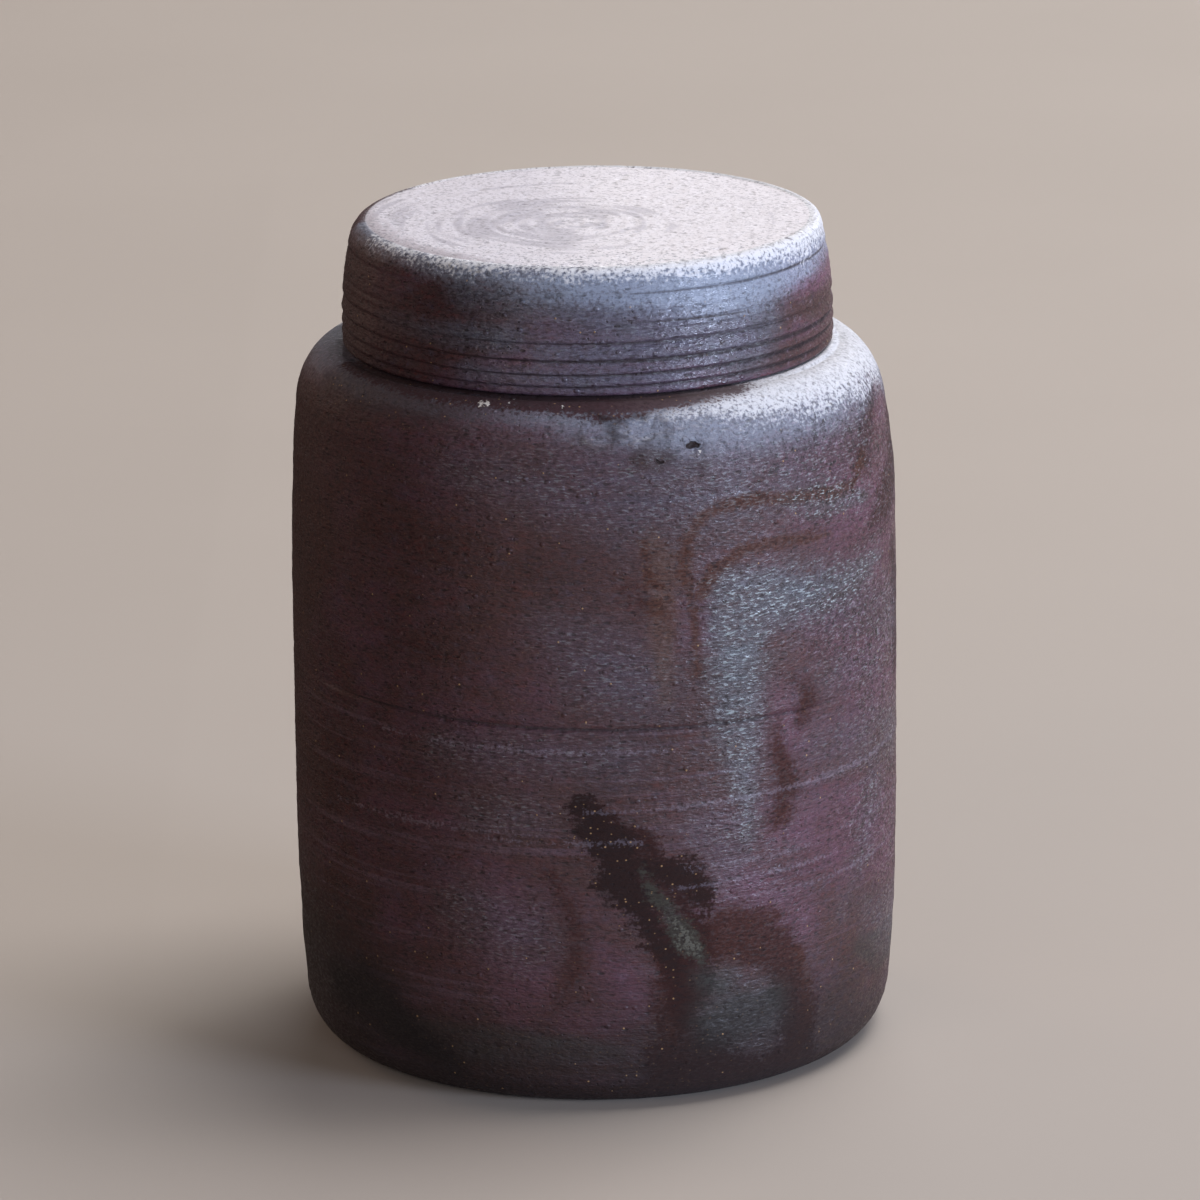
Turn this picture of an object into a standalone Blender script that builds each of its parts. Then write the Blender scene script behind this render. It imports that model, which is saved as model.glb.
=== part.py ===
"""Tea storage jar in wood-fired stoneware: a thrown body and the cap lid that goes over its neck.

Metres, +Z up. The origin is the middle of the foot. The jar's front faces -Y, with +X to its right.
"""

import math

import bmesh
import bpy

# Jar body, outside
BELLY_RADIUS = 0.0500
WALL_TUCK = 0.0012  # how much narrower the barrel is at its two ends than at its belly
LEDGE_HEIGHT = 0.1173  # from the foot to the flat ledge that carries the lid
HEEL_WIDTH = 0.0068
HEEL_HEIGHT = 0.0090
SHOULDER_WIDTH = 0.0075
SHOULDER_HEIGHT = 0.0100
SCORED_LINE_WIDTH = 0.0012
SCORED_LINE_DEPTH = 0.0004

# Jar body, inside and under the foot
BODY_WALL = 0.0050
FLOOR_THICKNESS = 0.0055
FLOOR_FILLET = 0.0060
FOOT_RING_WIDTH = 0.0080
FOOT_RECESS = 0.0015
LEDGE_THICKNESS = 0.0050

# Neck, inside the lid
NECK_HEIGHT = 0.0140
NECK_WALL = 0.0040

# Cap lid
LID_SETBACK = 0.00066  # from the ledge's outer edge to the lid's rim
LID_WALL = 0.0042
LID_TOP_THICKNESS = 0.0045
LID_HEADROOM = 0.0022  # from the neck's rim to the lid's ceiling
LID_TAPER = 0.0022  # how much narrower the wall is at the top than at the rim
LID_CORNER = 0.0015
LID_CEILING_FILLET = 0.0025
RIM_ROUNDING = 0.0006
THROWING_RIDGE_WIDTH = 0.0012
THROWING_RIDGE_DEPTH = 0.00025

# Fits
NECK_CLEARANCE = 0.0012  # all round, between the neck and the lid's bore
SEAT_GAP = 0.0003  # between pieces that touch

# Shares and counts
BARREL_POWER = 4  # 2 is an even bow, more keeps the wall upright for longer
SCORED_LINE_PLACE = 0.57  # share of the barrel's height
LID_STRAIGHT_SHARE = 0.17  # share of the lid's wall that stands upright over the rim
THROWING_RIDGE_PLACES = (0.075, 0.155, 0.275, 0.42, 0.50, 0.65, 0.80)  # shares of the lid's height
MOST_ROUNDING = 0.4  # a rounded edge takes no more than this share of its wall
SEGMENTS = 64
WALL_STEPS = 12
ARC_STEPS = 6
ROUNDING_STEPS = 3
SMOOTH_ANGLE = math.radians(32)
WELD_DISTANCE = SEAT_GAP / 100

# Heights and radii that follow from the sizes above
SHOULDER_START = LEDGE_HEIGHT - SHOULDER_HEIGHT
BARREL_MIDDLE = (HEEL_HEIGHT + SHOULDER_START) / 2
BARREL_HALF = (SHOULDER_START - HEEL_HEIGHT) / 2
BARREL_END_RADIUS = BELLY_RADIUS - WALL_TUCK
FOOT_RADIUS = BARREL_END_RADIUS - HEEL_WIDTH
LEDGE_RADIUS = BARREL_END_RADIUS - SHOULDER_WIDTH
LID_RADIUS = LEDGE_RADIUS - LID_SETBACK
BORE_RADIUS = LID_RADIUS - LID_WALL
NECK_RADIUS = BORE_RADIUS - NECK_CLEARANCE
MOUTH_RADIUS = NECK_RADIUS - NECK_WALL
NECK_TOP = LEDGE_HEIGHT + NECK_HEIGHT
LID_RIM = LEDGE_HEIGHT + SEAT_GAP
LID_CEILING = NECK_TOP + LID_HEADROOM - LID_RIM
LID_HEIGHT = LID_CEILING + LID_TOP_THICKNESS
# The lid lies over to the jar's left until its bore meets the neck.
LID_SHIFT = NECK_CLEARANCE - SEAT_GAP


def clear_scene():
    for old in list(bpy.data.objects):
        bpy.data.objects.remove(old)


def arc(centre, across, up, start, end, steps=ARC_STEPS):
    """Points (radius, height) on an ellipse's arc. 0 degrees is outwards, 90 is up."""
    points = []
    for step in range(steps + 1):
        turn = math.radians(start + (end - start) * step / steps)
        points.append((centre[0] + across * math.cos(turn), centre[1] + up * math.sin(turn)))
    return points


def barrel_radius(height):
    """The barrel's outer radius: upright through the belly, drawn in towards heel and shoulder."""
    away = abs(height - BARREL_MIDDLE) / BARREL_HALF
    return BELLY_RADIUS - WALL_TUCK * away**BARREL_POWER


def inner_radius(height):
    return barrel_radius(height) - BODY_WALL


def lid_radius(height):
    """The lid's outer radius: upright over the rim, then curving in towards the top."""
    straight = LID_HEIGHT * LID_STRAIGHT_SHARE
    share = max(0.0, height - straight) / (LID_HEIGHT - straight)
    return LID_RADIUS - LID_TAPER * share**2


def stretch(radius_at, low, high, whole):
    """Points along a wall from low to high, as close together as WALL_STEPS over the whole wall."""
    steps = max(1, round(WALL_STEPS * abs(high - low) / whole))
    heights = [low + (high - low) * step / steps for step in range(steps + 1)]
    return [(radius_at(height), height) for height in heights]


def grooved_wall(radius_at, low, high, grooves, width, depth):
    """A wall from low to high with a shallow V cut round it at each groove's height."""
    points = []
    start = low
    for height in grooves:
        points += stretch(radius_at, start, height - width / 2, high - low)
        points.append((radius_at(height) - depth, height))
        start = height + width / 2
    return points + stretch(radius_at, start, high, high - low)


def without_repeats(points):
    """Drops a point that lies on the one before it, where an arc starts on a wall's end."""
    kept = points[:1]
    for point in points[1:]:
        if math.dist(point, kept[-1]) > WELD_DISTANCE:
            kept.append(point)
    return kept


def body_outline():
    """From the recess under the foot, up the outside, over the neck and down the inside."""
    recess_corner = FOOT_RADIUS - FOOT_RING_WIDTH - FOOT_RECESS
    under = arc((recess_corner, 0.0), FOOT_RECESS, FOOT_RECESS, 90, 0, ROUNDING_STEPS)
    heel = arc((FOOT_RADIUS, HEEL_HEIGHT), HEEL_WIDTH, HEEL_HEIGHT, -90, 0)
    scored_line = HEEL_HEIGHT + SCORED_LINE_PLACE * (SHOULDER_START - HEEL_HEIGHT)
    barrel = grooved_wall(
        barrel_radius, HEEL_HEIGHT, SHOULDER_START, [scored_line], SCORED_LINE_WIDTH, SCORED_LINE_DEPTH
    )
    shoulder = arc((LEDGE_RADIUS, SHOULDER_START), SHOULDER_WIDTH, SHOULDER_HEIGHT, 0, 90)
    return under + heel + barrel + shoulder + neck_outline() + inside_outline()


def neck_outline():
    """The neck from its foot on the ledge, over its round lip, to the ceiling inside."""
    fillet = min(RIM_ROUNDING, MOST_ROUNDING * NECK_HEIGHT)
    lip = NECK_WALL / 2
    foot = arc((NECK_RADIUS + fillet, LEDGE_HEIGHT + fillet), fillet, fillet, 270, 180, ROUNDING_STEPS)
    return foot + arc((NECK_RADIUS - lip, NECK_TOP - lip), lip, lip, 0, 180)


def inside_outline():
    """The chamber from the mouth down to the floor."""
    ceiling = LEDGE_HEIGHT - LEDGE_THICKNESS
    spring = ceiling - SHOULDER_HEIGHT
    floor = FOOT_RECESS + FLOOR_THICKNESS
    corner = inner_radius(floor + FLOOR_FILLET) - FLOOR_FILLET
    vault = arc((MOUTH_RADIUS, spring), inner_radius(spring) - MOUTH_RADIUS, SHOULDER_HEIGHT, 90, 0)
    wall = stretch(inner_radius, spring, floor + FLOOR_FILLET, SHOULDER_START - HEEL_HEIGHT)
    return vault + wall + arc((corner, floor + FLOOR_FILLET), FLOOR_FILLET, FLOOR_FILLET, 0, -90)


def lid_outline():
    """From the ceiling down the bore, round the rim, up the outside to the flat top."""
    rounding = min(RIM_ROUNDING, MOST_ROUNDING * LID_WALL)
    fillet = min(LID_CEILING_FILLET, MOST_ROUNDING * LID_CEILING)
    corner = min(LID_CORNER, MOST_ROUNDING * LID_TOP_THICKNESS)
    corner_radius = lid_radius(LID_HEIGHT - corner)
    ridges = [place * LID_HEIGHT for place in THROWING_RIDGE_PLACES]
    ceiling = arc((BORE_RADIUS - fillet, LID_CEILING - fillet), fillet, fillet, 90, 0, ROUNDING_STEPS)
    rim_inside = arc((BORE_RADIUS + rounding, rounding), rounding, rounding, 180, 270, ROUNDING_STEPS)
    rim_outside = arc((LID_RADIUS - rounding, rounding), rounding, rounding, 270, 360, ROUNDING_STEPS)
    wall = grooved_wall(
        lid_radius, rounding, LID_HEIGHT - corner, ridges, THROWING_RIDGE_WIDTH, THROWING_RIDGE_DEPTH
    )
    top = arc((corner_radius - corner, LID_HEIGHT - corner), corner, corner, 0, 90, ROUNDING_STEPS)
    return ceiling + rim_inside + rim_outside + wall + top


def linear(channel):
    return channel / 12.92 if channel <= 0.04045 else ((channel + 0.055) / 1.055) ** 2.4


def fired_clay(name, colour, roughness):
    """An opaque ceramic surface. The colour is sRGB in hex."""
    material = bpy.data.materials.new(name)
    material.use_nodes = True
    shader = material.node_tree.nodes["Principled BSDF"]
    rgb = [linear(int(colour[place : place + 2], 16) / 255) for place in (1, 3, 5)]
    shader.inputs["Base Color"].default_value = (*rgb, 1.0)
    shader.inputs["Roughness"].default_value = roughness
    shader.inputs["Metallic"].default_value = 0.0
    return material


def turned(name, outline, material):
    """A closed solid turned from its outline, with a flat face across each open end."""
    mesh = bpy.data.meshes.new(name)
    shape = bmesh.new()
    points = [shape.verts.new((radius, 0.0, height)) for radius, height in without_repeats(outline)]
    edges = [shape.edges.new(pair) for pair in zip(points, points[1:])]
    bmesh.ops.spin(
        shape,
        geom=points + edges,
        cent=(0, 0, 0),
        axis=(0, 0, 1),
        angle=math.tau,
        steps=SEGMENTS,
        use_merge=True,
    )
    bmesh.ops.remove_doubles(shape, verts=shape.verts, dist=WELD_DISTANCE)
    bmesh.ops.holes_fill(shape, edges=[edge for edge in shape.edges if edge.is_boundary])
    bmesh.ops.recalc_face_normals(shape, faces=shape.faces)
    shape.to_mesh(mesh)
    shape.free()
    mesh.shade_smooth()
    mesh.set_sharp_from_angle(angle=SMOOTH_ANGLE)
    mesh.materials.append(material)
    piece = bpy.data.objects.new(name, mesh)
    bpy.context.collection.objects.link(piece)
    return piece


def main():
    clear_scene()
    body = turned("jar_body", body_outline(), fired_clay("bare_stoneware", "#5a4750", 0.5))
    lid = turned("cap_lid", lid_outline(), fired_clay("ash_dusted_stoneware", "#8b7f8a", 0.5))
    lid.parent = body
    lid.location = (-LID_SHIFT, 0.0, LID_RIM)


main()
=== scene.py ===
import math

import bmesh
import bpy
import numpy as np
from mathutils import Matrix, Vector, noise


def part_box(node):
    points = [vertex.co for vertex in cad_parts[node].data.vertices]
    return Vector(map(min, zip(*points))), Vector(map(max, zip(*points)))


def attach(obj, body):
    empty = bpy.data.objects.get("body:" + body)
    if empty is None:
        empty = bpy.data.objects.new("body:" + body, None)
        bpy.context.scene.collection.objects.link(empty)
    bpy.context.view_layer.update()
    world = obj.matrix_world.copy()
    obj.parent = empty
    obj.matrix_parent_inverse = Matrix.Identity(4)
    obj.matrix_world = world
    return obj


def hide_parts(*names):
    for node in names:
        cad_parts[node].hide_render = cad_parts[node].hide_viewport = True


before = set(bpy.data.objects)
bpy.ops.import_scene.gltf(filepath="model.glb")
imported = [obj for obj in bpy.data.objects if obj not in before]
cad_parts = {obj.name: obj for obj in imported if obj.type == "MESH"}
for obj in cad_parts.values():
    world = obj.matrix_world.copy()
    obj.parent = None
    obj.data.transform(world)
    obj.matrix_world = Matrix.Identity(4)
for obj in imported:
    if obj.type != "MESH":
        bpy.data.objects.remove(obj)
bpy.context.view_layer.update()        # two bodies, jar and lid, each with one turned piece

bodyLow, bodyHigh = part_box("jar_body")
lidLow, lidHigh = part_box("cap_lid")
mm = 0.001

# Camera: a long lens a little above the jar, looking at its front, which faces -Y
camera = {
    "elevation": 16.09,  # degrees
    "distance": 1.2911,  # metres from the target
    "target": 0.068,  # height of the point that the camera circles
    "aimRight": 0.91 * mm,  # how far beside and above the target the picture's middle lies
    "aimUp": 4.28 * mm,
    "roll": -0.574,  # degrees
    "focal": 233.35,  # mm
    "sensor": 36,  # mm
    "clip": (0.05, 30),  # metres
}


def addObject(name, data):
    thing = bpy.data.objects.new(name, data)
    bpy.context.scene.collection.objects.link(thing)
    return thing


# Places something that looks or shines along its own -Z, and turns it to the aim
def lookFrom(place, aim):
    return Matrix.Translation(place) @ (aim - place).to_track_quat("-Z", "Y").to_matrix().to_4x4()


def placeCamera():
    lift = math.radians(camera["elevation"])
    target = Vector((0, 0, camera["target"]))
    place = target + camera["distance"] * Vector((0, -math.cos(lift), math.sin(lift)))
    upward = Vector((0, math.sin(lift), math.cos(lift)))
    aim = target + Vector((camera["aimRight"], 0, 0)) + camera["aimUp"] * upward
    data = bpy.data.cameras.new("camera")
    data.lens = camera["focal"]
    data.sensor_width = camera["sensor"]
    data.clip_start, data.clip_end = camera["clip"]
    eye = addObject("camera", data)
    eye.matrix_world = lookFrom(place, aim) @ Matrix.Rotation(math.radians(camera["roll"]), 4, "Z")
    bpy.context.scene.camera = eye
    print("camera placed")


# Lights: name, azimuth (0 is the front, to the right is more) and elevation in degrees, distance, size, watts
# and colour. The soft boxes stand to the right and behind, so the jar's left side stays dark.
lights = [
    ("key", 58, 7, 1.5, (0.5, 0.42), 21.5, "#d2e0ff"),
    ("sky", 11, 9, 1.6, (1.1, 0.5), 4, "#ccdcff"),
    ("left", -130, 18, 1.5, (0.6, 0.9), 2.9, "#ffdccc"),
    ("rim", 100, 14, 1.5, (0.6, 0.7), 2.1, "#f6e2e8"),
    ("back", 160, 20, 1.8, (1.6, 0.6), 12, "#f0f0f6"),
    ("top", 118, 66, 1.6, (1, 1), 23, "#f6f4fa"),
    ("fill", -30, 24, 1.8, (1, 1), 3.6, "#ffe6d8"),
]

# The stage, in metres
stage = {
    "aim": 0.08,  # height that the lights point at
    "room": "#cfcac6",
    "roomStrength": 0.13,
    "floorRadius": 6,
    "plaster": ("#aea599", "#b5aca0"),  # the two tones of its clouds
    "clouds": 6,  # to the metre
    "plasterRoughness": 0.85,
    "plasterGloss": 0.3,
    "felt": "#2a2624",
    "card": (0.75, 0.4),  # depth and height
    "cardPlace": (-0.078, 0.27, 0.2),
}


# An sRGB hex colour turned linear, with an alpha of 1
def linear(colour):
    channels = [int(colour[place:place + 2], 16) / 255 for place in (1, 3, 5)]
    return [c / 12.92 if c <= 0.04045 else ((c + 0.055) / 1.055) ** 2.4 for c in channels] + [1]


def placeLights():
    aim = Vector((0, 0, stage["aim"]))
    for name, azimuth, elevation, distance, size, watts, colour in lights:
        side, lift = math.radians(azimuth), math.radians(elevation)
        away = Vector((math.sin(side) * math.cos(lift), -math.cos(side) * math.cos(lift), math.sin(lift)))
        data = bpy.data.lights.new(name, "AREA")
        data.shape = "RECTANGLE"
        data.size, data.size_y = size
        data.energy = watts
        data.color = linear(colour)[:3]
        lamp = addObject(name, data)
        lamp.matrix_world = lookFrom(aim + distance * away, aim)
        lamp.visible_camera = False
    world = bpy.data.worlds.new("studio")
    world.use_nodes = True
    room = world.node_tree.nodes["Background"]
    room.inputs["Color"].default_value = linear(stage["room"])
    room.inputs["Strength"].default_value = stage["roomStrength"]
    bpy.context.scene.world = world
    bpy.context.scene.view_settings.view_transform = "Standard"
    print(len(lights), "lights placed")


# Adds a node and gives one of its outputs. inputs holds a value or another node's output for each socket, in
# order or by name or number.
def addNode(tree, kind, inputs=(), output=0, **settings):
    node = tree.nodes.new("ShaderNode" + kind)
    for name, value in settings.items():
        setattr(node, name, value)
    for socket, value in inputs.items() if isinstance(inputs, dict) else enumerate(inputs):
        if isinstance(value, bpy.types.NodeSocket):
            tree.links.new(value, node.inputs[socket])
        else:
            node.inputs[socket].default_value = value
    return node.outputs[output]


def newMaterial(name):
    material = bpy.data.materials.new(name)
    material.use_nodes = True
    return material, material.node_tree, material.node_tree.nodes["Principled BSDF"]


smooth = {"interpolation_type": "SMOOTHSTEP"}


# Lays a paint over a colour where a value runs from start to end. Gives the new colour and the paint's share.
def layOver(tree, colour, value, start, end, strength, paint):
    share = addNode(tree, "MapRange", [value, start, end, 0, strength], **smooth)
    return addNode(tree, "Mix", {0: share, 6: colour, 7: linear(paint)}, 2, data_type="RGBA"), share


# Painted plaster, rolled on: matt, with a faint cloudiness and hardly any gloss
def paintedPlaster():
    material, tree, shader = newMaterial("pale painted plaster")
    coords = addNode(tree, "TexCoord", output="Object")
    cloud = addNode(tree, "TexNoise", {"Vector": coords, "Scale": stage["clouds"], "Detail": 4})
    dark, pale = stage["plaster"]
    tone = addNode(tree, "Mix", {0: cloud, 6: linear(dark), 7: linear(pale)}, 2, data_type="RGBA")
    tree.links.new(tone, shader.inputs["Base Color"])
    shader.inputs["Roughness"].default_value = stage["plasterRoughness"]
    shader.inputs["Specular IOR Level"].default_value = stage["plasterGloss"]
    return material


# Dyed wool felt: black, and its loose fibres give it no gloss
def blackFelt():
    material, _, shader = newMaterial("black felt")
    shader.inputs["Base Color"].default_value = linear(stage["felt"])
    shader.inputs["Roughness"].default_value = 1
    return material


def addMesh(name, shape, material):
    mesh = bpy.data.meshes.new(name)
    shape.to_mesh(mesh)
    shape.free()
    mesh.materials.append(material)
    return addObject(name, mesh)


def makeFloor():
    shape = bmesh.new()
    bmesh.ops.create_circle(shape, cap_ends=True, segments=96, radius=stage["floorRadius"])
    floor = addMesh("floor", shape, paintedPlaster())
    floor.location.z = bodyLow.z
    print("floor laid")


# A card beside the jar, as photographers use: only gloss sees it, so the pale floor won't veil the dark side
def makeFlag():
    shape = bmesh.new()
    bmesh.ops.create_grid(shape, x_segments=1, y_segments=1, size=0.5)
    bmesh.ops.rotate(shape, verts=shape.verts, cent=(0, 0, 0), matrix=Matrix.Rotation(math.pi / 2, 3, "Y"))
    bmesh.ops.scale(shape, verts=shape.verts, vec=(1, *stage["card"]))
    bmesh.ops.translate(shape, verts=shape.verts, vec=stage["cardPlace"])
    flag = addMesh("flag", shape, blackFelt())
    flag.visible_camera = flag.visible_diffuse = flag.visible_shadow = False
    print("card set up")


# The thrown body, in millimetres and degrees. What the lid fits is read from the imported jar.
# Azimuth 0 is the front and grows to the right.
body = {
    "belly": (bodyHigh.x - bodyLow.x) / 2 / mm,
    "neckTop": bodyHigh.z / mm,
    "ledge": lidLow.z / mm - 0.3,
    "tuck": 1.2,  # how much narrower the barrel is at heel and shoulder
    "barrelPower": 4,
    "heelWidth": 6.8,
    "heelHeight": 9,
    "shoulderWidth": 7.5,
    "shoulderHeight": 10,
    "wall": 5,
    "floorTop": 7,
    "floorFillet": 6,
    "footRing": 8,
    "footRecess": 1.5,
    "ledgeThickness": 5,
    "neckRadius": 35.24,
    "neckWall": 4,
    "neckFillet": 0.6,
    "segments": 344,
    "rowHeight": 0.75,
    "fineRow": 0.3,  # rows beside a ring
    "fineReach": 0.9,  # how near the ring they are
    "flatRow": 8,  # between the rings of a flat stretch
    # spacing of the outline's points on its other stretches
    "spacing": {
        "recess": 0.8, "shoulder": 0.6, "fillet": 0.45, "stem": 3, "lip": 0.9, "inside": 4, "vault": 2.5,
        "corner": 1.9,
    },
    # unevenness: how deep, its size round the wall and up it, and its place in the noise
    "uneven": [(0.11, 60, 9, (3, 1, 2)), (0.06, 40, 2.6, (8, 5, 1)), (0.035, 2.6, 2.2, (5, 7, 3))],
    "ripples": (0.03, 9, 1.5, (2, 9, 4)),  # the same, but twice as deep low on the wall
    "ripplesGrow": (66, 8),  # below this height, over this much
    "wander": (0.35, 45, 400, (1, 4, 6)),  # how far the rings stray up and down
    "lineHeight": 65,  # the line scored round the wall, which slopes down to the right
    "lineSlope": 1,
    "lineDepth": 0.42,
    "lineWidth": 0.33,
    "lineWander": 0.15,  # its share of the rings' straying
    "lineLip": (0.4, 0.8, 0.4),  # clay pushed up beneath it: share of the depth, how far below, half-width
    "lineFaint": (0.7, 48, 298, 24),  # how much shallower it is, from and to azimuth, and fade
    "insideRings": (0.25, 9),  # depth and pitch of the spiral that the fingers left inside
    "ringFade": 16,  # degrees
    # the right shoulder sits lower and tighter: azimuth, from what height, over how much, inward and down
    "slump": (88, 93, 24, 1, 0.35),
    "slumpPower": 1.5,  # how fast it fades round the wall
    # the dark seam round the lid's front: above what height, radius, half-width, depth, azimuths and fade
    "seam": (115, 40.9, 0.75, 0.5, -76, 26, 30),
    "worked": 1,  # how strongly the hand's chatter shows
    "paintedGlintStrength": 1,  # how strongly the painted glints show
    # rings left by fingers and rib: height, rise, half-width, from and to azimuth
    "rings": [
        (62.9, 0.05, 0.3, -64, 66), (61.2, 0.05, 0.35, -40, 14), (51.4, 0.13, 0.36, -2, 88),
        (47.3, 0.04, 0.3, -60, 70), (45.3, 0.03, 0.4, -180, 180), (37.8, 0.08, 0.34, 14, 88),
        (34.2, 0.06, 0.32, 10, 88), (41.6, 0.05, 0.34, 30, 100), (30.5, -0.06, 0.4, -60, 30),
        (14.4, -0.14, 0.3, -44, 30), (6.4, -0.18, 0.45, -180, 180), (83.5, 0.04, 0.3, -60, 40),
        (104, 0.05, 0.4, -180, 180), (56.8, -0.05, 0.4, -70, 60), (23, 0.05, 0.5, -70, 20),
    ],
    # lumps and pits: azimuth, height, half-length round the wall, half-height, rise
    "lumps": [
        (19.6, 110.3, 1.3, 0.9, -0.9), (19.6, 108.6, 1.5, 0.7, 0.4), (1.4, 113, 2.4, 2, -0.35),
        (10.2, 113.3, 3.6, 1.5, -0.35), (21.6, 107.4, 0.9, 0.9, 0.4), (10, 109.2, 0.9, 0.8, 0.5),
        (13, 108.4, 2.4, 1.2, -0.3), (33, 113.2, 0.8, 0.7, 0.4), (-77, 100.5, 1.8, 0.9, 0.55),
        (-77, 99.2, 1.6, 0.7, -0.3), (32.5, 65.4, 0.9, 0.7, 0.22), (26, 88, 1.4, 0.6, 0.2),
        (45.3, 92.4, 1.5, 0.5, -0.25), (5, 76.5, 0.8, 0.7, 0.12), (-8, 74.5, 0.9, 0.7, 0.12),
        (38.2, 38, 0.8, 0.7, 0.2), (36.4, 44.5, 0.8, 0.6, -0.2), (15.5, 28.6, 1.4, 0.8, 0.2),
        (14, 31.5, 0.9, 0.7, -0.2), (-21, 79.3, 1, 0.5, -0.2), (118, 70, 1.2, 1, 0.4),
        (-140, 92, 1.2, 1, 0.4), (165, 40, 1.6, 1, -0.3), (-105, 58, 1, 0.8, 0.3),
    ],
}
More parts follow.
